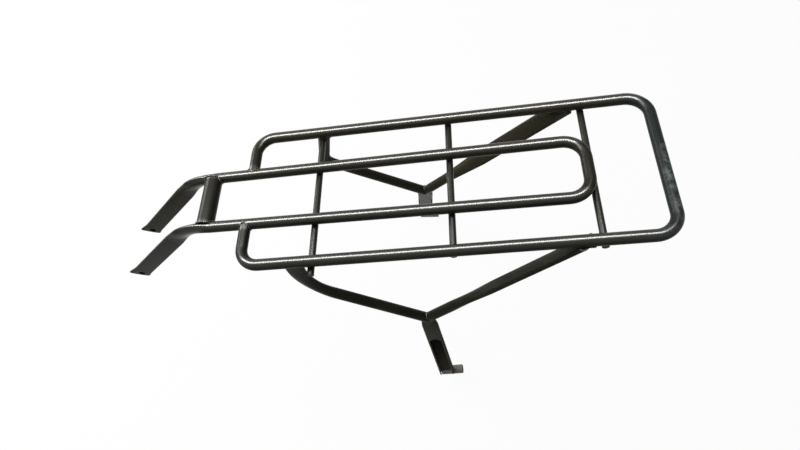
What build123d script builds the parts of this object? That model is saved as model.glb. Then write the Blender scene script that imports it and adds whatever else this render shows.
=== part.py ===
from build123d import *
import math
import os

# Luggage rack for a motorcycle, welded from bent steel tube and round rod.
# Millimetres. The origin is the middle of the deck, on the plane that luggage rests on.
# +X points to the back of the motorcycle, +Y to its right side, +Z up.

# Stock
tube_diameter = 15.0
tube_wall = 1.5
rod_diameter = 9.0
bridge_diameter = 23.0
bridge_wall = 2.0
bush_diameter = 14.0
bush_hole = 8.5
rod_seat = 0.5  # depth that each rod is let into the rails above it
bush_seat = 4.0  # depth that each bush is let into its leg
press_crown = 0.4  # bulge left in each side of a tube that is pressed flat
press_corner = 60.0  # degrees round the tube from the middle of an edge to where a pressed side starts

# Outer loop: two side rails, a rear cross and two front ends turned in to the centre rails
deck_length = 525.0  # between the axes of the front ends and the rear cross
deck_width = 200.0  # between the axes of the side rails
loop_front_bend = 25.0
loop_rear_bend = 28.0
loop_cope = 5.0  # how far the front ends wrap round the centre rails

# Centre hairpin: two centre rails, a rear cross and two front legs, pressed flat through their knees
hairpin_rear_width = 84.0  # between the axes of the centre rails at the rear cross
hairpin_foot_width = 76.0  # and between the front legs at their cut ends
hairpin_bend = 27.0
hairpin_setback = 5.0  # how far its rear cross lies ahead of the rear crossbar
knee_x = -348.0  # where a centre rail and its front leg would meet in a sharp corner
knee_bend = 60.0
front_leg_length = 187.0  # from that corner to the middle of the cut end
front_leg_slope = 40.4  # degrees below level
front_leg_press_back = 35.0  # from that corner back to the start of the pressing
front_leg_press = 40.0  # and from the corner on to where the leg is flat
front_leg_width = 25.0
front_leg_thickness = 7.0
foot_length = 13.0  # the last stretch, hammered thinner and wider
foot_width = 29.5
foot_thickness = 5.0
foot_cut = 20.0  # degrees that the cut end is turned from square, towards level
foot_hole = 9.0
foot_hole_margin = 9.0  # from the hole's centre to the middle of the cut end

# Bridge tube between the centre rails, ahead of the deck
bridge_x = -320.5
bridge_cope = 5.0  # how far the bridge's ends wrap round the rails

# Crossbars under the rails
front_bar_x = -171.0
middle_bar_x = 7.0
rear_bar_x = 181.5
front_bar_overhang = 14.0  # past the axis of each side rail
middle_bar_overhang = 2.0
rear_bar_overhang = 4.0

# Side stays: each side has a V of two struts, whose rear tube runs on down as a leg
apex_x = -49.4
apex_drop = 190.4  # below the rails' axes
apex_splay = 11.4  # outside the side rails' axes
rear_strut_top_x = 165.0
rear_strut_round = 55.0  # from the apex up to the start of the upper pressing
rear_strut_press = 75.0
rear_strut_width = 24.0
rear_strut_thickness = 8.0
rear_strut_roll = 63.0  # degrees that the pressed face is turned from upright, out at its foot
rear_strut_trim = 3.0  # the strut's top is cut level, this far below the rail's axis
front_strut_slope = 41.4  # degrees above level
front_strut_run_left = 194.0  # from the apex to the sharp corner of the upper bend
front_strut_run_right = 183.5
front_strut_bend_left = 95.0
front_strut_bend_right = 25.0
front_strut_top_x_left = -193.0  # where the strut reaches the rail's axis
front_strut_top_x_right = -166.5
front_strut_press_back = 45.0  # from that corner back to the start of the pressing
front_strut_flat = 15.0  # length of the flat stretch below the rail
front_strut_width_left = 24.0
front_strut_width_right = 17.0
front_strut_thickness_left = 9.0
front_strut_thickness_right = 13.0

# Legs below the apexes; the two sides were bent by hand and lean a little differently
leg_bend = 18.0
leg_drop = 131.0
leg_splay_left = 48.0
leg_splay_right = 43.0
leg_lean_left = 14.0  # towards the back
leg_lean_right = -17.0
leg_press_back = 15.0  # from the apex up the strut to the start of the pressing
leg_press = 16.0  # and from the apex down to where the leg is flat
leg_width = 25.0
leg_thickness = 9.0
leg_slot_start = 47.0  # from the apex down to the top of the slot that opens the leg's outer side
leg_slot_width = 18.0
bush_length = 34.0
bush_drop = 3.0  # from the leg's cut end down to the bush's axis
bush_reach = 12.0  # how far the bush stands out behind the leg's edge

# Worked out from the sizes above
tube_bore = tube_diameter - 2 * tube_wall
rail_z = -tube_diameter / 2
rail_y = deck_width / 2
front_x = -deck_length / 2
rear_x = deck_length / 2
rod_z = rail_z - (tube_diameter + rod_diameter) / 2 + rod_seat
hairpin_rear_x = rear_bar_x - hairpin_setback
sideways = Vector(0, 1, 0)


def straight_run(start, end):
    """Straight path between two points."""
    with BuildLine() as line:
        Line(start, end)
    return line.wire()


def run_of_bends(points, radii):
    """Straight runs from point to point, with a tangent arc at each corner."""
    with BuildLine() as line:
        FilletPolyline(*points, radius=radii)
    return line.wire()


def round_bar(path, diameter):
    """Solid round bar along a path."""
    with BuildPart() as bar:
        with BuildSketch(Plane(origin=path @ 0, z_dir=path % 0)):
            Circle(diameter / 2)
        sweep(path=path)
    return bar.part


def round_sizes(wall):
    """Sizes for tube_outline of a round tube, or of its bore inside a wall."""
    radius = tube_diameter / 2 - wall
    corner = Vector(radius, 0).rotate(Axis.Z, press_corner)
    return corner.X, corner.Y, radius, radius


def flat_sizes(width, thickness, wall):
    """Sizes for tube_outline of a tube pressed flat, with round edges and two nearly flat sides."""
    half_width = width / 2 - wall
    half_thickness = thickness / 2 - wall
    return half_width - half_thickness, half_thickness - press_crown, half_width, half_thickness


def tube_outline(corner_x, corner_y, edge_x, crown_y):
    """Closed outline of two long sides and two edges, each an arc through its middle."""
    with BuildSketch() as section:
        with BuildLine():
            ThreePointArc((-corner_x, corner_y), (0, crown_y), (corner_x, corner_y))
            ThreePointArc((corner_x, corner_y), (edge_x, 0), (corner_x, -corner_y))
            ThreePointArc((corner_x, -corner_y), (0, -crown_y), (-corner_x, -corner_y))
            ThreePointArc((-corner_x, -corner_y), (-edge_x, 0), (-corner_x, corner_y))
        make_face()
    return section.sketch


def across(path, place, roll):
    """Plane square to a path at its start (0) or its end (1), its X axis upright but for the roll."""
    way = path % place
    broad = way.cross(sideways).rotate(Axis((0, 0, 0), way), roll)
    return Plane(origin=path @ place, x_dir=broad, z_dir=way)


def shaped_stretch(path, first, last, roll):
    """Solid stretch along a path, from one outline to another."""
    with BuildPart() as stretch:
        with BuildSketch(across(path, 0, roll)):
            add(tube_outline(*first))
        with BuildSketch(across(path, 1, roll)):
            add(tube_outline(*last))
        sweep(path=path, multisection=True)
    return stretch.part


def pressed_end(stretches, roll=0.0):
    """Outer form and inner hollow of a tube's end, from round to the size of each stretch in turn."""
    forms = []
    for wall in (0, tube_wall):
        first = round_sizes(wall)
        with BuildPart() as form:
            for path, width, thickness in stretches:
                last = flat_sizes(width, thickness, wall)
                add(shaped_stretch(path, first, last, roll))
                first = last
        forms.append(form.part)
    return forms


# Centre hairpin, whose rails draw a little closer together towards the front
leg_fall = Vector(-front_leg_length, 0, 0).rotate(Axis.Y, -front_leg_slope)
foot_x = knee_x + leg_fall.X


def centre_rail_y(x):
    """Distance of a centre rail or front leg from the middle of the rack."""
    share = (hairpin_rear_x - x) / (hairpin_rear_x - foot_x)
    return (hairpin_rear_width + (hairpin_foot_width - hairpin_rear_width) * share) / 2


def centre_rail_point(side, x):
    """Point on a centre rail's axis."""
    return Vector(x, side * centre_rail_y(x), rail_z)


def front_leg_point(side, distance):
    """Point on a front leg's axis, this far along it from the sharp corner of the knee."""
    fall = leg_fall * (distance / front_leg_length)
    x = knee_x + fall.X
    return Vector(x, side * centre_rail_y(x), rail_z + fall.Z)


press_start_x = knee_x + front_leg_press_back
hairpin_path = run_of_bends(
    [
        centre_rail_point(-1, press_start_x),
        (hairpin_rear_x, -hairpin_rear_width / 2, rail_z),
        (hairpin_rear_x, hairpin_rear_width / 2, rail_z),
        centre_rail_point(1, press_start_x),
    ],
    hairpin_bend,
)
hairpin_outer = round_bar(hairpin_path, tube_diameter)
hairpin_inner = round_bar(hairpin_path, tube_bore)
foot_allowance = foot_width / 2 * math.tan(math.radians(foot_cut))
front_leg_ends = []
for side in (-1, 1):
    flat_start = front_leg_point(side, front_leg_press)
    foot_start = front_leg_point(side, front_leg_length - foot_length)
    foot_end = front_leg_point(side, front_leg_length + foot_allowance)
    knee = [centre_rail_point(side, press_start_x), front_leg_point(side, 0), flat_start]
    front_leg_ends.append(
        pressed_end(
            [
                (run_of_bends(knee, knee_bend), front_leg_width, front_leg_thickness),
                (straight_run(flat_start, foot_start), front_leg_width, front_leg_thickness),
                (straight_run(foot_start, foot_end), foot_width, foot_thickness),
            ]
        )
    )
cut_way = Vector(-1, 0, 0).rotate(Axis.Y, -front_leg_slope - foot_cut)
foot_plane = Plane(origin=front_leg_point(1, front_leg_length), x_dir=sideways, z_dir=cut_way)
foot_hole_at = front_leg_length - foot_hole_margin

with BuildPart() as hairpin_form:
    add(hairpin_outer)
    for outer, inner in front_leg_ends:
        add(outer)
    split(bisect_by=foot_plane, keep=Keep.BOTTOM)

with BuildPart() as centre_hairpin:
    add(hairpin_form.part)
    add(hairpin_inner, mode=Mode.SUBTRACT)
    for outer, inner in front_leg_ends:
        add(inner, mode=Mode.SUBTRACT)
    with BuildSketch(Plane.XZ):
        with Locations((front_leg_point(1, foot_hole_at).X, front_leg_point(1, foot_hole_at).Z)):
            Circle(foot_hole / 2)
    extrude(amount=hairpin_rear_width, both=True, mode=Mode.SUBTRACT)

# Outer loop, its front ends coped to the centre rails
loop_end_y = centre_rail_y(front_x) + tube_diameter / 2 - loop_cope
loop_path = run_of_bends(
    [
        (front_x, -loop_end_y, rail_z),
        (front_x, -rail_y, rail_z),
        (rear_x, -rail_y, rail_z),
        (rear_x, rail_y, rail_z),
        (front_x, rail_y, rail_z),
        (front_x, loop_end_y, rail_z),
    ],
    [loop_front_bend, loop_rear_bend, loop_rear_bend, loop_front_bend],
)
loop_outer = round_bar(loop_path, tube_diameter)
loop_inner = round_bar(loop_path, tube_bore)

with BuildPart() as outer_loop:
    add(loop_outer)
    add(loop_inner, mode=Mode.SUBTRACT)
    add(hairpin_form.part, mode=Mode.SUBTRACT)

# Bridge tube, coped to the centre rails
with BuildPart() as front_bridge:
    with BuildSketch(Plane.XZ):
        with Locations((bridge_x, rail_z)):
            Circle(bridge_diameter / 2)
            Circle(bridge_diameter / 2 - bridge_wall, mode=Mode.SUBTRACT)
    extrude(amount=centre_rail_y(bridge_x) - tube_diameter / 2 + bridge_cope, both=True)
    add(hairpin_form.part, mode=Mode.SUBTRACT)

# Crossbars, let into the undersides of the rails
crossbars = {}
for name, bar_x, overhang in (
    ("crossbar_front", front_bar_x, front_bar_overhang),
    ("crossbar_middle", middle_bar_x, middle_bar_overhang),
    ("crossbar_rear", rear_bar_x, rear_bar_overhang),
):
    with BuildPart() as crossbar:
        with BuildSketch(Plane.XZ):
            with Locations((bar_x, rod_z)):
                Circle(rod_diameter / 2)
        extrude(amount=rail_y + overhang, both=True)
        add(loop_outer, mode=Mode.SUBTRACT)
        add(hairpin_form.part, mode=Mode.SUBTRACT)
    crossbars[name] = crossbar.part

# Side stays, with their legs and bushes
stays = {}
for side, name, top_x, strut_run, strut_bend, width, thickness, splay, lean in (
    (-1, "left", front_strut_top_x_left, front_strut_run_left, front_strut_bend_left,
     front_strut_width_left, front_strut_thickness_left, leg_splay_left, leg_lean_left),
    (1, "right", front_strut_top_x_right, front_strut_run_right, front_strut_bend_right,
     front_strut_width_right, front_strut_thickness_right, leg_splay_right, leg_lean_right),
):
    apex = Vector(apex_x, side * (rail_y + apex_splay), rail_z - apex_drop)
    rear_top = Vector(rear_strut_top_x, side * rail_y, rail_z)
    leg_foot = apex + Vector(lean, side * splay, -leg_drop)
    strut_way = (rear_top - apex).normalized()
    leg_way = (leg_foot - apex).normalized()
    leg_broad = leg_way.cross(sideways).normalized()
    leg_outward = leg_broad.cross(leg_way) * side

    # Bush across the inner side of the leg's end
    bush_offset = (leg_thickness + bush_diameter) / 2 - bush_seat
    bush_start = (
        leg_foot
        + leg_way * bush_drop
        - leg_outward * bush_offset
        + leg_broad * (leg_width / 2 + bush_reach)
    )
    with BuildPart() as bush_form:
        with BuildSketch(Plane(origin=bush_start, z_dir=leg_broad * -1)):
            Circle(bush_diameter / 2)
        extrude(amount=bush_length)
    with BuildPart() as leg_bush:
        add(bush_form.part)
        with BuildSketch(Plane(origin=bush_start, z_dir=leg_broad * -1)):
            Circle(bush_hole / 2)
        extrude(amount=bush_length, mode=Mode.SUBTRACT)
    stays["leg_bush_" + name] = leg_bush.part

    # Rear strut and leg: one tube, pressed flat at its top and from its lower bend down
    strut_press_start = apex + strut_way * rear_strut_round
    strut_flat_start = strut_press_start + strut_way * rear_strut_press
    leg_press_start = apex + strut_way * leg_press_back
    leg_flat_start = apex + leg_way * leg_press
    strut_path = straight_run(leg_press_start, strut_press_start)
    strut_outer = round_bar(strut_path, tube_diameter)
    strut_inner = round_bar(strut_path, tube_bore)
    strut_end = pressed_end(
        [
            (straight_run(strut_press_start, strut_flat_start), rear_strut_width, rear_strut_thickness),
            (straight_run(strut_flat_start, rear_top), rear_strut_width, rear_strut_thickness),
        ],
        roll=-side * rear_strut_roll,
    )
    leg_end = pressed_end(
        [
            (run_of_bends([leg_press_start, apex, leg_flat_start], leg_bend), leg_width, leg_thickness),
            (straight_run(leg_flat_start, leg_foot), leg_width, leg_thickness),
        ]
    )
    slot_end = apex + leg_way * (leg_slot_start + leg_slot_width / 2)

    with BuildPart() as strut_form:
        add([strut_outer, strut_end[0], leg_end[0]])
        split(bisect_by=Plane.XY.offset(rail_z - rear_strut_trim), keep=Keep.BOTTOM)

    with BuildPart() as rear_strut:
        add(strut_form.part)
        add([strut_inner, strut_end[1], leg_end[1]], mode=Mode.SUBTRACT)
        with BuildSketch(Plane(origin=slot_end, x_dir=leg_way, z_dir=leg_outward)):
            Circle(leg_slot_width / 2)
            Rectangle(leg_drop, leg_slot_width, align=(Align.MIN, Align.CENTER))
        extrude(amount=leg_thickness, mode=Mode.SUBTRACT)
        add([loop_outer, bush_form.part, *crossbars.values()], mode=Mode.SUBTRACT)
    stays["rear_strut_" + name] = rear_strut.part

    # Front strut, pressed flat towards the rail above and coped to the rear strut below
    strut_corner = apex + Vector(-strut_run, 0, 0).rotate(Axis.Y, front_strut_slope)
    corner_share = (strut_corner.Z - apex.Z) / apex_drop
    strut_corner.Y = apex.Y + (side * rail_y - apex.Y) * corner_share
    front_top = Vector(top_x, side * rail_y, rail_z)
    front_press_start = strut_corner + (apex - strut_corner).normalized() * front_strut_press_back
    front_flat_start = front_top + (strut_corner - front_top).normalized() * front_strut_flat
    front_bend = run_of_bends([front_press_start, strut_corner, front_flat_start], strut_bend)
    front_path = straight_run(apex, front_press_start)
    front_outer = round_bar(front_path, tube_diameter)
    front_inner = round_bar(front_path, tube_bore)
    front_end = pressed_end(
        [
            (front_bend, width, thickness),
            (straight_run(front_flat_start, front_top), width, thickness),
        ]
    )

    with BuildPart() as front_strut:
        add([front_outer, front_end[0]])
        add([front_inner, front_end[1]], mode=Mode.SUBTRACT)
        add(strut_form.part, mode=Mode.SUBTRACT)
        add([loop_outer, *crossbars.values()], mode=Mode.SUBTRACT)
    stays["front_strut_" + name] = front_strut.part

# One file for each piece
pieces = {
    "outer_loop": outer_loop.part,
    "centre_hairpin": centre_hairpin.part,
    "front_bridge": front_bridge.part,
    **crossbars,
    **stays,
}
os.makedirs("parts", exist_ok=True)
for label, piece in pieces.items():
    piece.label = label
    export_step(piece, f"parts/{label}.step")
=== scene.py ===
import math
import random

import bmesh
import bpy
from mathutils import Matrix, Vector


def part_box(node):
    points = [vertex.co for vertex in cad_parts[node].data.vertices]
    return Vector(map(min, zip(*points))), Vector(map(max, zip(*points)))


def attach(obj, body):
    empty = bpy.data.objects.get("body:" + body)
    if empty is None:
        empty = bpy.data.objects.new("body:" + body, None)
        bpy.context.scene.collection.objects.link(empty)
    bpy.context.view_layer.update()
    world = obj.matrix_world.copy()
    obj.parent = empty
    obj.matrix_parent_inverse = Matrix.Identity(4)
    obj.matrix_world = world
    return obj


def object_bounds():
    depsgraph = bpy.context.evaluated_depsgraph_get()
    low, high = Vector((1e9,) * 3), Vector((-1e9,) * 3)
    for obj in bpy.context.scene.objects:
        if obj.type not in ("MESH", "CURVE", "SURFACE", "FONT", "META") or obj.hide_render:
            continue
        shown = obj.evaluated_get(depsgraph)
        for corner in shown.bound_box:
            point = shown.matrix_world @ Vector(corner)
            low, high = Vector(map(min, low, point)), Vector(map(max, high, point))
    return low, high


# Luggage rack for a motorcycle: bent tube and rod under worn black paint, with its weld beads.
# Metres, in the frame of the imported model. +X points to the back of the motorcycle, +Z up.

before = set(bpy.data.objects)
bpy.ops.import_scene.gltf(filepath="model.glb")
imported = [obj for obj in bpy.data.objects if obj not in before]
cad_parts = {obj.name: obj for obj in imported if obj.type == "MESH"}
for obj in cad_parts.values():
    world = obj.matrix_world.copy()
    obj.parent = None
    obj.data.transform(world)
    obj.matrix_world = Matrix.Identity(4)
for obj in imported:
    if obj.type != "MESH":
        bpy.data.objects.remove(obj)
cad_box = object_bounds()
draws = random.Random(5)

# Places of the tubes, measured on the frame
loop_low, loop_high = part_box("outer_loop")
tube_radius = (loop_high.z - loop_low.z) / 2
rail_z = (loop_high.z + loop_low.z) / 2
rail_y = loop_high.y - tube_radius
front_end_x = loop_low.x + tube_radius
bridge_low, bridge_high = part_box("front_bridge")
bridge_x = (bridge_low.x + bridge_high.x) / 2
bridge_radius = (bridge_high.x - bridge_low.x) / 2
floor_z = cad_box[0].z

# Places that a box doesn't show
sides = {"left": -1, "right": 1}
centre_rail_rear = Vector((0.1765, 0.042, rail_z))
centre_rail_foot = Vector((-0.4904, 0.038, rail_z))
apex_x = -0.0494
apex_drop = 0.1904
apex_splay = 0.0114
strut_slope = math.radians(41.4)
strut_tops = {"left": -0.193, "right": -0.1665}
strut_top_widths = {"left": 0.024, "right": 0.017}
strut_top_thicknesses = {"left": 0.009, "right": 0.013}
rear_strut_top_x = 0.165
rear_strut_trim = 0.003
leg_falls = {"left": (0.014, 0.048, -0.131), "right": (-0.017, 0.043, -0.131)}
leg_slot_start = 0.047  # from the apex down to the top of the slot in the leg's outer side
leg_slot_depth = 0.003  # from the middle of the leg in to the floor of its channel
knee_start_x = -0.313
front_leg_slope = math.radians(40.4)
foot_hole = Vector((-0.483559, 0.0, -0.122867))
foot_hole_radius = 0.0045
foot_hole_margin = 0.009  # from the hole's middle to the cut end, along the leg
foot_cut_slope = math.radians(60.4)  # of the way that the cut end faces

# Weld beads
bead_radius = 0.0012
crossbar_bead_radius = bead_radius * 0.8
crotch_bead_radius = 0.0018
bead_lift = 0.0003  # how far a bead's middle stands off the tubes it joins
bead_step = 0.0005
bead_sides = 10
bead_end_size = 0.45  # of the radius, at the end of an open bead
bead_end_growth = 0.2  # of the radius, gained at each section from there
bead_unevenness = 0.06
fewest_sections = 6
ripple_steps = 4  # sections in each ripple
ripple_depth = 0.13
seam_steps = 96
rounding = 1e-9
crotch_turn = math.radians(38)  # how far the bead between two struts reaches round them, each way
foot_bead_depth = 0.002  # from the cut end of a foot in to the bead that closes it
foot_bead_half = 0.013
rear_strut_bead_half = 0.009
rear_strut_bead_shift = 0.004  # forward of the strut's top

# Colours of the paint, the painted shade in the channels and foot holes, the steel and the surroundings
olive_black = (0.0150, 0.0156, 0.0098, 1.0)
brown_black = (0.0330, 0.0285, 0.0175, 1.0)
dusty_black = (0.0580, 0.0555, 0.0425, 1.0)
# Painted reflection: a cooler, lighter black that stands in for the bluish surroundings reflected at the
# rear
painted_cool_reflection = (0.0190, 0.0240, 0.0220, 1.0)
# pale blue-grey of the rubbed patch, which is partly a painted sheen
scuff_and_sheen_grey = (0.30, 0.34, 0.35, 1.0)
# Painted shade for the leg channels and foot holes: near black, paler lower down
hollow_shade_dark = (0.006, 0.0056, 0.0045, 1.0)
hollow_shade_pale = (0.050, 0.046, 0.033, 1.0)
steel_dark = (0.06, 0.058, 0.052, 1.0)
steel_pale = (0.26, 0.255, 0.235, 1.0)
steel_rust = (0.12, 0.065, 0.03, 1.0)
floor_grey = (0.86, 0.86, 0.86, 1.0)
sky_tint = (0.95, 0.97, 1.0, 1.0)
white = (1.0, 1.0, 1.0, 1.0)

# Pairs of places between which one look of the paint turns into the next
brown_y = (-0.06, 0.09)
dusty_leg_z = (-0.19, -0.23)
# where the painted shade in the hollows turns paler, going down
hollow_shade_fade_z = (-0.25, -0.34)
# where the painted cool reflection comes in at the rear of the deck
rear_x = (0.19, 0.25)
rear_deck_z = (-0.03, -0.018)
polish_z = (-0.0055, -0.0005)
polish_x = (-0.375, -0.325)
side_rail_y = (rail_y - 0.012, rail_y - 0.004)
centre_inner_y = (centre_rail_rear.y - 0.011, centre_rail_rear.y - 0.0065)
centre_outer_y = (centre_rail_rear.y + 0.011, centre_rail_rear.y + 0.005)
centre_bend_x = (0.200, 0.172)
rod_low_z = (-0.027, -0.021)
rod_high_z = (-0.010, -0.014)
rod_end_y = (rail_y - 0.006, rail_y - 0.012)
foot_hole_rim = (foot_hole_radius * 1.09, foot_hole_radius * 1.04)
channel_mouth = (leg_slot_depth * 0.9, leg_slot_depth * 0.7)  # outwards from the middle of the leg
channel_floor = (-leg_slot_depth * 1.25, -leg_slot_depth * 1.15)
channel_top = (leg_slot_start - 0.002, leg_slot_start + 0.001)  # down from the apex

# Wear of the paint
patch_share = 0.45  # of the brown that comes in patches, the rest grows to the right
patch_edges = (0.46, 0.68)
patch_core = 0.35
# A pale patch on the rear cross: rubbed paint, together with a painted sheen that stands in for light
# reflected there
scuff_and_sheen_middle = (0.268, -0.035, -0.003)
scuff_and_sheen_size = (0.013, 0.085, 0.012)
scuff_and_sheen_edges = (0.42, 0.66)
scuff_and_sheen_strength = 0.6
scuff_dulling = 0.7
cross_polish = 0.12  # of the rails' polish, on the tubes that run across
rod_polish = 0.35
knee_run = 0.03
knee_fall = 0.8  # how fast the polished top falls away past the start of the knee
rust_edges = (0.56, 0.68)
rust_strength = 0.5

# Camera: 25.2 mm lens on a 36 mm sensor, looking down on the left side
camera_place = (0.053559, -0.398568, 0.585100)
camera_turn = (29.44178, 10.28404, 0.44527)
camera_lens = 25.2
camera_sensor = 36.0

# Surroundings
floor_half = 6.0
floor_white_share = 0.95
sky_strength = 0.2
strip_tint = (1.0, 0.99, 0.96)


class Shade:
    """An output of a shader node. Using it in an expression adds the Math node for it."""

    def __init__(self, finish, socket):
        self.finish = finish
        self.socket = socket

    def __add__(self, other):
        return self.finish.math("ADD", self, other)

    def __radd__(self, other):
        return self.finish.math("ADD", other, self)

    def __sub__(self, other):
        return self.finish.math("SUBTRACT", self, other)

    def __rsub__(self, other):
        return self.finish.math("SUBTRACT", other, self)

    def __mul__(self, other):
        return self.finish.math("MULTIPLY", self, other)

    def __rmul__(self, other):
        return self.finish.math("MULTIPLY", other, self)


class Finish:
    """A material or a world under construction, with one method that adds any node."""

    def __init__(self, name, kind=bpy.data.materials):
        self.made = kind.new(name)
        self.made.use_nodes = True
        self.tree = self.made.node_tree
        self.tree.nodes.clear()

    def node(self, kind, settings=None, inputs=None, output=0):
        """Adds a node, sets its settings first, fills its inputs and returns one of its outputs."""
        added = self.tree.nodes.new(kind)
        for name, value in (settings or {}).items():
            setattr(added, name, value)
        for name, value in (inputs or {}).items():
            if isinstance(value, Shade):
                self.tree.links.new(value.socket, added.inputs[name])
            else:
                added.inputs[name].default_value = value
        return Shade(self, added.outputs[output]) if added.outputs else None

    def math(self, operation, first, second):
        return self.node("ShaderNodeMath", {"operation": operation}, {0: first, 1: second})

    def larger(self, first, second):
        return self.math("MAXIMUM", first, second)

    def vector(self, operation, first, second, output="Vector"):
        return self.node("ShaderNodeVectorMath", {"operation": operation}, {0: first, 1: second}, output)

    def place(self):
        return self.node("ShaderNodeTexCoord", output="Object")

    def axes(self, place):
        """How far a place lies along the rack, across it and up."""
        return [self.node("ShaderNodeSeparateXYZ", {}, {0: place}, axis) for axis in "XYZ"]

    def noise(self, place, scale, detail=3.0, roughness=0.55):
        return self.node(
            "ShaderNodeTexNoise",
            {},
            {"Vector": place, "Scale": scale, "Detail": detail, "Roughness": roughness},
        )

    def span(self, value, low, high):
        """0 below low and 1 above high, smooth between them; the other way round where low > high."""
        return self.node(
            "ShaderNodeMapRange",
            {"interpolation_type": "SMOOTHSTEP"},
            {"Value": value, "From Min": low, "From Max": high, "To Min": 0.0, "To Max": 1.0},
        )

    def sideways(self, across, low, high):
        """A span of the distance from the middle of the rack, the same on both sides."""
        return self.span(across * across, low ** 2, high ** 2)

    def blend(self, factor, first, second):
        """One colour turning into another."""
        return self.node(
            "ShaderNodeMix", {"data_type": "RGBA"}, {0: factor, 6: first, 7: second}, output=2
        )

    def patch(self, place, centre, size):
        """1 in the middle of an ellipsoid, fading to 0 at its edge."""
        scaled = self.vector("DIVIDE", self.vector("SUBTRACT", place, centre), size)
        reach = self.node("ShaderNodeVectorMath", {"operation": "LENGTH"}, {0: scaled}, "Value")
        return self.span(reach, 1.0, patch_core)

    def distance(self, place, start, way):
        """How far a place lies from a point, measured along a direction."""
        return self.vector("DOT_PRODUCT", self.vector("SUBTRACT", place, start), way, "Value")

    def bump(self, height, strength, distance):
        return self.node(
            "ShaderNodeBump", {}, {"Height": height, "Strength": strength, "Distance": distance}
        )

    def mixed(self, factor, first, second):
        """One shader turning into another."""
        return self.node("ShaderNodeMixShader", {}, {0: factor, 1: first, 2: second})

    def seen(self):
        """1 for what the camera sees, also in a reflection or through glass."""
        camera, glossy, through = [
            self.node("ShaderNodeLightPath", output=name)
            for name in ("Is Camera Ray", "Is Glossy Ray", "Is Transmission Ray")
        ]
        return self.larger(camera, self.larger(glossy, through))

    def done(self, shader, output="ShaderNodeOutputMaterial"):
        self.node(output, {}, {"Surface": shader})
        return self.made


def leg_directions(name):
    """Apex of a side's stay, the way down its leg and the way out of the leg's broad side."""
    side = sides[name]
    apex = Vector((apex_x, side * (rail_y + apex_splay), rail_z - apex_drop))
    fall_x, splay, fall_z = leg_falls[name]
    down = Vector((fall_x, side * splay, fall_z)).normalized()
    broad = down.cross(Vector((0, 1, 0))).normalized()
    return apex, down, broad.cross(down) * side


def painted_shade_in_hollows(finish, place):
    """1 inside the foot holes and in the channels of the two legs, where shade is painted."""
    flat = finish.vector("MULTIPLY", place, (1, 0, 1))
    shaded = finish.span(finish.vector("DISTANCE", flat, foot_hole, "Value"), *foot_hole_rim)
    for name in sides:
        apex, down, out = leg_directions(name)
        depth = finish.distance(place, apex, out)
        channel = finish.span(depth, *channel_mouth) * finish.span(depth, *channel_floor)
        below_top = finish.span(finish.distance(place, apex, down), *channel_top)
        shaded = finish.larger(shaded, channel * below_top)
    return shaded


def paint_scuff_and_sheen(finish, place):
    """1 in the broken marks on the rear cross, where the paint is rubbed and a pale sheen is painted."""
    worn = finish.patch(place, scuff_and_sheen_middle, scuff_and_sheen_size)
    marks = finish.span(finish.noise(place, scale=90.0, detail=4.0, roughness=0.6), *scuff_and_sheen_edges)
    return worn * marks


def paint_colour(finish, place, scuff_and_sheen):
    """Olive black that turns brown to the right, dusty down the legs, with a cooler painted reflection
    at the rear and scuffs there that carry a painted sheen.
    """
    along, across, height = finish.axes(place)
    patches = finish.span(finish.noise(place, scale=16.0), *patch_edges)
    brown = patch_share * patches + (1 - patch_share) * finish.span(across, *brown_y)
    base = finish.blend(brown, olive_black, brown_black)
    base = finish.blend(finish.span(height, *dusty_leg_z), base, dusty_black)
    # Painted reflection: the rear of the deck is tinted cooler and lighter
    rear = finish.span(along, *rear_x) * finish.span(height, *rear_deck_z)
    base = finish.blend(rear, base, painted_cool_reflection)
    # Rubbed paint with a painted sheen on the rear cross
    return finish.blend(scuff_and_sheen * scuff_and_sheen_strength, base, scuff_and_sheen_grey)


def paint_polish(finish, place, scuff_and_sheen):
    """Polish on the tops: full along the rails, slight on the cross tubes, and some on the rods."""
    along, across, height = finish.axes(place)
    knee = knee_fall * finish.span(along, knee_start_x, knee_start_x - knee_run) * (knee_start_x - along)
    tops = finish.span(height + knee, *polish_z) * finish.span(along, *polish_x)
    side_rails = finish.sideways(across, *side_rail_y)
    centre_rails = finish.sideways(across, *centre_inner_y) * finish.sideways(across, *centre_outer_y)
    rails = side_rails + centre_rails * finish.span(along, *centre_bend_x)
    rods = finish.span(height, *rod_low_z) * finish.span(height, *rod_high_z)
    rods = rods * finish.sideways(across, *rod_end_y)
    polish = tops * (cross_polish + (1 - cross_polish) * rails) * (1.0 - scuff_dulling * scuff_and_sheen)
    return polish + rod_polish * rods


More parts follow.
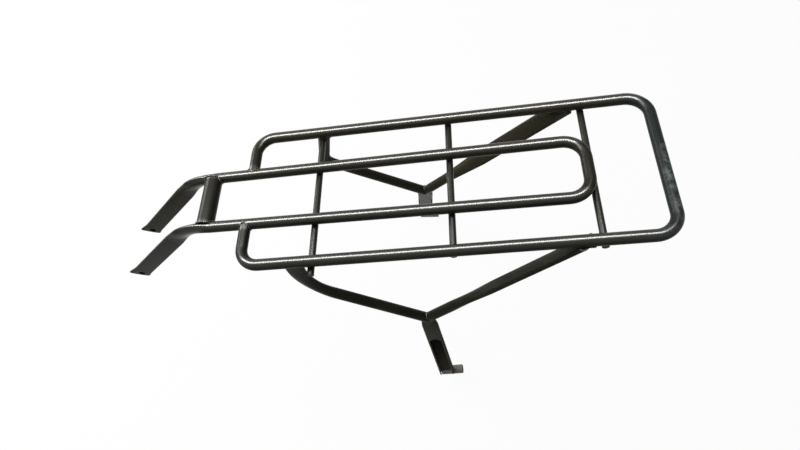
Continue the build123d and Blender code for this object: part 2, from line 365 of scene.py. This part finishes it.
def black_paint(name, on_welds=False):
    """Semi-gloss black paint, polished on the tops and glossy on the welds, with painted shade in its
    hollows.
    """
    finish = Finish(name)
    place = finish.place()
    height = finish.axes(place)[2]
    grain = finish.noise(place, scale=420.0, detail=4.0)
    ripple = finish.noise(place, scale=60.0, detail=2.0)
    scuff_and_sheen = paint_scuff_and_sheen(finish, place)
    paint = finish.node(
        "ShaderNodeBsdfPrincipled",
        {},
        {
            "Base Color": paint_colour(finish, place, scuff_and_sheen),
            "Roughness": 0.3 + 0.03 * grain + 0.2 * scuff_and_sheen,
            "IOR": 1.125,
            "Coat Weight": 1.0 if on_welds else paint_polish(finish, place, scuff_and_sheen),
            "Coat Roughness": 0.12 if on_welds else 0.27,
            "Coat IOR": 1.33,
            "Normal": finish.bump(ripple, strength=0.03, distance=0.0003),
        },
    )
    # Painted shade: a dull near-black colour in the channels and foot holes, paler towards the bottom
    hollow_shade = finish.node(
        "ShaderNodeBsdfPrincipled",
        {},
        {
            "Base Color": finish.blend(finish.span(height, *hollow_shade_fade_z), hollow_shade_dark, hollow_shade_pale),
            "Roughness": 0.9,
            "Specular IOR Level": 0.05,
        },
    )
    return finish.done(finish.mixed(painted_shade_in_hollows(finish, place), paint, hollow_shade))


def bare_steel():
    """Dull steel of the bushes, mottled grey with a little rust."""
    finish = Finish("bare_steel")
    place = finish.place()
    mottle = finish.noise(place, scale=260.0, detail=4.0, roughness=0.65)
    rust = finish.span(finish.noise(place, scale=120.0), *rust_edges)
    base = finish.blend(mottle, steel_dark, steel_pale)
    shader = finish.node(
        "ShaderNodeBsdfPrincipled",
        {},
        {
            "Base Color": finish.blend(rust * rust_strength, base, steel_rust),
            "Roughness": 0.65 + 0.25 * mottle,
            "Metallic": 0.35 - 0.3 * rust,
            "Specular IOR Level": 0.2,
            "Normal": finish.bump(mottle, strength=0.3, distance=0.0005),
        },
    )
    return finish.done(shader)


def pale_floor():
    """White floor that keeps a soft shadow: most of what the camera sees of it is plain white."""
    finish = Finish("pale_floor")
    lit = finish.node("ShaderNodeBsdfDiffuse", {}, {"Color": floor_grey})
    plain = finish.node("ShaderNodeEmission", {}, {"Color": white, "Strength": 1.0})
    return finish.done(finish.mixed(finish.seen() * floor_white_share, lit, plain))


def white_surroundings():
    """Dim, even light from all round, which itself looks white."""
    finish = Finish("white_surroundings", bpy.data.worlds)
    dim = finish.node("ShaderNodeBackground", {}, {"Color": sky_tint, "Strength": sky_strength})
    plain = finish.node("ShaderNodeBackground", {}, {"Color": white, "Strength": 1.0})
    return finish.done(finish.mixed(finish.seen(), dim, plain), "ShaderNodeOutputWorld")


def centre_rail(x):
    """Distance of a centre rail's axis from the middle of the rack."""
    share = (centre_rail_rear.x - x) / (centre_rail_rear.x - centre_rail_foot.x)
    return centre_rail_rear.y + (centre_rail_foot.y - centre_rail_rear.y) * share


def centre_wall(side):
    """A centre rail as a point on its axis, the axis and the radius that a bead's middle keeps to."""
    way = centre_rail_foot - centre_rail_rear
    point = Vector((centre_rail_rear.x, side * centre_rail_rear.y, rail_z))
    axis = Vector((way.x, side * way.y, 0)).normalized()
    return point, axis, tube_radius + bead_lift


def entry(start, way, wall):
    """How far along a line it first meets the wall of a round tube, or None where it misses."""
    point, axis, radius = wall
    across = way - axis * way.dot(axis)
    offset = start - point
    offset = offset - axis * offset.dot(axis)
    square = across.dot(across)
    half = across.dot(offset)
    root = half * half - square * (offset.dot(offset) - radius * radius)
    if root < 0:
        return None
    return (-half - math.sqrt(root)) / square


def end_seam(start, way, radius, wall, reach):
    """Points round a tube's end where it meets the tube that it is coped to, within its reach."""
    first = way.orthogonal().normalized()
    second = way.cross(first)
    points = []
    for step in range(seam_steps):
        turn = 2 * math.pi * step / seam_steps
        begin = start + (first * math.cos(turn) + second * math.sin(turn)) * (radius + bead_lift)
        hit = entry(begin, way, wall)
        points.append(begin + way * (reach if hit is None else min(hit, reach)))
    return points


def crossing_seam(rod_x, rod_z, rod_radius, rail_at):
    """Points round the place where a rod touches the rail above it."""
    rod = rod_radius + bead_lift
    rail = tube_radius + bead_lift
    rise = rail_z - rod_z
    widest = math.acos((rise - rail) / rod)
    half_steps = seam_steps // 2
    near, far = [], []
    for step in range(half_steps):
        turn = widest * math.sin(math.pi * ((step + 0.5) / half_steps - 0.5))
        out = math.sqrt(max(rail * rail - (rise - rod * math.cos(turn)) ** 2, 0.0))
        x = rod_x + rod * math.sin(turn)
        z = rod_z + rod * math.cos(turn)
        near.append(Vector((x, rail_at - out, z)))
        far.append(Vector((x, rail_at + out, z)))
    return near + far[::-1]


def top_seam(top, half_width, half_thickness):
    """Points round a strut's pressed top, where it meets the underside of the rail above it."""
    run = half_width - half_thickness
    points = []
    for step in range(seam_steps):
        turn = 2 * math.pi * step / seam_steps
        x = math.copysign(run, math.cos(turn)) + half_thickness * math.cos(turn)
        y = half_thickness * math.sin(turn)
        fall = math.sqrt((tube_radius + bead_lift) ** 2 - y * y)
        points.append(top + Vector((x, y, -fall)))
    return points


def evenly(points, closed):
    """Points at even steps along a seam."""
    ends = points[1:] + points[:1] if closed else points[1:]
    runs = list(zip(points, ends))
    whole = sum((end - start).length for start, end in runs)
    count = max(int(whole / bead_step), fewest_sections)
    spacing = whole / (count if closed else count - 1)
    path, travelled = [], 0.0
    for start, end in runs:
        length = (end - start).length
        while len(path) < count and len(path) * spacing <= travelled + length + rounding:
            share = (len(path) * spacing - travelled) / length if length else 0.0
            path.append(start.lerp(end, share))
        travelled += length
    return path


def add_bead(mesh, points, radius, closed):
    """A weld bead along a seam: round sections that swell and shrink with each ripple."""
    path = evenly(points, closed)
    last = len(path) - 1
    rings = []
    for k, centre in enumerate(path):
        ahead = path[(k + 1) % len(path)] if closed else path[min(k + 1, last)]
        behind = path[k - 1] if closed else path[max(k - 1, 0)]
        ripple = ripple_depth * math.cos(2 * math.pi * k / ripple_steps)
        swell = 1 + ripple + draws.uniform(-bead_unevenness, bead_unevenness)
        if not closed:
            swell *= min(1.0, bead_end_size + bead_end_growth * min(k, last - k))
        turn = (ahead - behind).to_track_quat("Z", "Y").to_matrix().to_4x4()
        ring = bmesh.ops.create_circle(
            mesh,
            segments=bead_sides,
            radius=radius * swell,
            matrix=Matrix.Translation(centre) @ turn,
        )
        rings.append(list({edge for corner in ring["verts"] for edge in corner.link_edges}))
    for first, second in zip(rings, rings[1:] + rings[:1] if closed else rings[1:]):
        bmesh.ops.bridge_loops(mesh, edges=first + second)
    if not closed:
        bmesh.ops.holes_fill(mesh, edges=rings[0] + rings[-1], sides=bead_sides)


def weld_piece(name, seams, finish):
    """One piece of all the weld beads of a kind."""
    whole = bmesh.new()
    for points, radius, closed in seams:
        bead = bmesh.new()
        add_bead(bead, points, radius, closed)
        part = bpy.data.meshes.new(name + ".bead")
        bead.to_mesh(part)
        bead.free()
        whole.from_mesh(part)
        bpy.data.meshes.remove(part)
    bmesh.ops.recalc_face_normals(whole, faces=whole.faces)
    data = bpy.data.meshes.new(name)
    whole.to_mesh(data)
    whole.free()
    data.shade_smooth()
    data.materials.append(finish)
    piece = bpy.data.objects.new(name, data)
    bpy.context.scene.collection.objects.link(piece)
    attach(piece, "root")


def crossbar_seams():
    """Beads where the rods meet the side rails and the centre rails."""
    seams = []
    for name in ("crossbar_front", "crossbar_middle", "crossbar_rear"):
        low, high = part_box(name)
        rod_x = (low.x + high.x) / 2
        rod_radius = (high.x - low.x) / 2
        rod_z = low.z + rod_radius
        rails = [-rail_y, rail_y]
        if name != "crossbar_rear":
            rails += [-centre_rail(rod_x), centre_rail(rod_x)]
        for rail_at in rails:
            points = crossing_seam(rod_x, rod_z, rod_radius, rail_at)
            seams.append((points, crossbar_bead_radius, True))
    return seams


def front_end_seams():
    """Beads where the loop's front ends and the bridge meet the centre rails."""
    seams = []
    for side in sides.values():
        wall = centre_wall(side)
        inward = Vector((0, -side, 0))
        front_end = Vector((front_end_x, side * rail_y, rail_z))
        reach = rail_y - centre_rail(front_end_x)
        seams.append((end_seam(front_end, inward, tube_radius, wall, reach), bead_radius, True))
        bridge = Vector((bridge_x, 0, rail_z))
        seams.append((end_seam(bridge, -inward, bridge_radius, wall, bridge_high.y), bead_radius, True))
    return seams


def crotch_seams():
    """Beads over the corner where the two struts of a side meet."""
    seams = []
    for name in sides:
        apex = leg_directions(name)[0]
        points = []
        for step in range(seam_steps + 1):
            turn = crotch_turn * (2 * step / seam_steps - 1)
            rise = tube_radius * math.cos(turn) / math.cos(strut_slope)
            points.append(apex + Vector((0, tube_radius * math.sin(turn), rise)))
        seams.append((points, crotch_bead_radius, False))
    return seams


def strut_top_seams():
    """Beads round the tops of the front struts and along both sides of the rear struts' tops."""
    out = math.sqrt(tube_radius ** 2 - rear_strut_trim ** 2) + bead_lift
    run = Vector((rear_strut_bead_half, 0, 0))
    seams = []
    for name, side in sides.items():
        top = Vector((strut_tops[name], side * rail_y, rail_z))
        points = top_seam(top, strut_top_widths[name] / 2, strut_top_thicknesses[name] / 2)
        seams.append((points, bead_radius, True))
        for across in (-out, out):
            x = rear_strut_top_x - rear_strut_bead_shift
            middle = Vector((x, side * rail_y + across, rail_z - rear_strut_trim))
            seams.append(([middle - run, middle, middle + run], bead_radius, False))
    return seams


def foot_seams():
    """Beads that close the hollow of each front leg, just inside its cut end."""
    leg_way = Vector((-math.cos(front_leg_slope), 0, -math.sin(front_leg_slope)))
    inward = Vector((math.cos(foot_cut_slope), 0, math.sin(foot_cut_slope)))
    run = Vector((math.sin(foot_cut_slope), 0, -math.cos(foot_cut_slope))) * foot_bead_half
    seams = []
    for side in sides.values():
        middle = foot_hole + leg_way * foot_hole_margin + inward * foot_bead_depth
        middle.y = side * centre_rail(middle.x)
        seams.append(([middle - run, middle, middle + run], bead_radius, False))
    return seams


def make_floor():
    """Level floor at the height of the legs' lower ends."""
    ground = bmesh.new()
    bmesh.ops.create_grid(ground, x_segments=1, y_segments=1, size=floor_half)
    bmesh.ops.translate(ground, verts=ground.verts, vec=(0, 0, floor_z))
    data = bpy.data.meshes.new("floor")
    ground.to_mesh(data)
    ground.free()
    data.materials.append(pale_floor())
    floor = bpy.data.objects.new("floor", data)
    bpy.context.scene.collection.objects.link(floor)


def area_light(name, place, target, along, size, power):
    """A rectangular soft light that faces a point, its first side along a direction."""
    data = bpy.data.lights.new(name, "AREA")
    data.shape = "RECTANGLE"
    data.size, data.size_y = size
    data.energy = power
    light = bpy.data.objects.new(name, data)
    light.location = place
    back = (Vector(place) - Vector(target)).normalized()
    across = back.cross(Vector(along)).normalized()
    light.rotation_euler = Matrix((across.cross(back), across, back)).transposed().to_euler()
    bpy.context.scene.collection.objects.link(light)
    return light


def make_lights():
    """Soft light from above, a panel in front and a bright strip that shows along the rails."""
    soft = area_light(
        "soft_light",
        place=(-1.0, 0.2, 1.65),
        target=(0, 0, 0),
        along=(0, 1, 0),
        size=(2.2, 1.6),
        power=23.0,
    )
    soft.visible_glossy = False
    area_light(
        "front_light",
        place=(-1.6, 0.87, 0.75),
        target=(-0.3, 0, 0),
        along=(0, 1, 0),
        size=(1.0, 0.8),
        power=29.0,
    )
    strip = area_light(
        "strip_light",
        place=(-0.25, 0.13, 0.74),
        target=(-0.25, 0, 0),
        along=(1, 0, 0),
        size=(1.5, 0.17),
        power=69.0,
    )
    strip.data.color = strip_tint
    strip.visible_diffuse = False


def make_camera():
    """The camera on the left of the rack, above its deck."""
    data = bpy.data.cameras.new("camera")
    data.lens = camera_lens
    data.sensor_width = camera_sensor
    camera = bpy.data.objects.new("camera", data)
    camera.location = camera_place
    camera.rotation_euler = [math.radians(angle) for angle in camera_turn]
    bpy.context.scene.collection.objects.link(camera)
    bpy.context.scene.camera = camera


paint = black_paint("black_paint")
weld_paint = black_paint("black_paint_welds", on_welds=True)
steel = bare_steel()
for name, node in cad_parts.items():
    node.data.materials.clear()
    node.data.materials.append(steel if name.startswith("leg_bush") else paint)

weld_piece("welds_crossbars", crossbar_seams(), weld_paint)
weld_piece("welds_front_ends", front_end_seams(), weld_paint)
weld_piece("welds_crotches", crotch_seams(), weld_paint)
weld_piece("welds_strut_tops", strut_top_seams(), paint)
weld_piece("welds_feet", foot_seams(), paint)

bpy.context.scene.view_settings.view_transform = "Standard"
bpy.context.scene.world = white_surroundings()
make_floor()
make_lights()
make_camera()
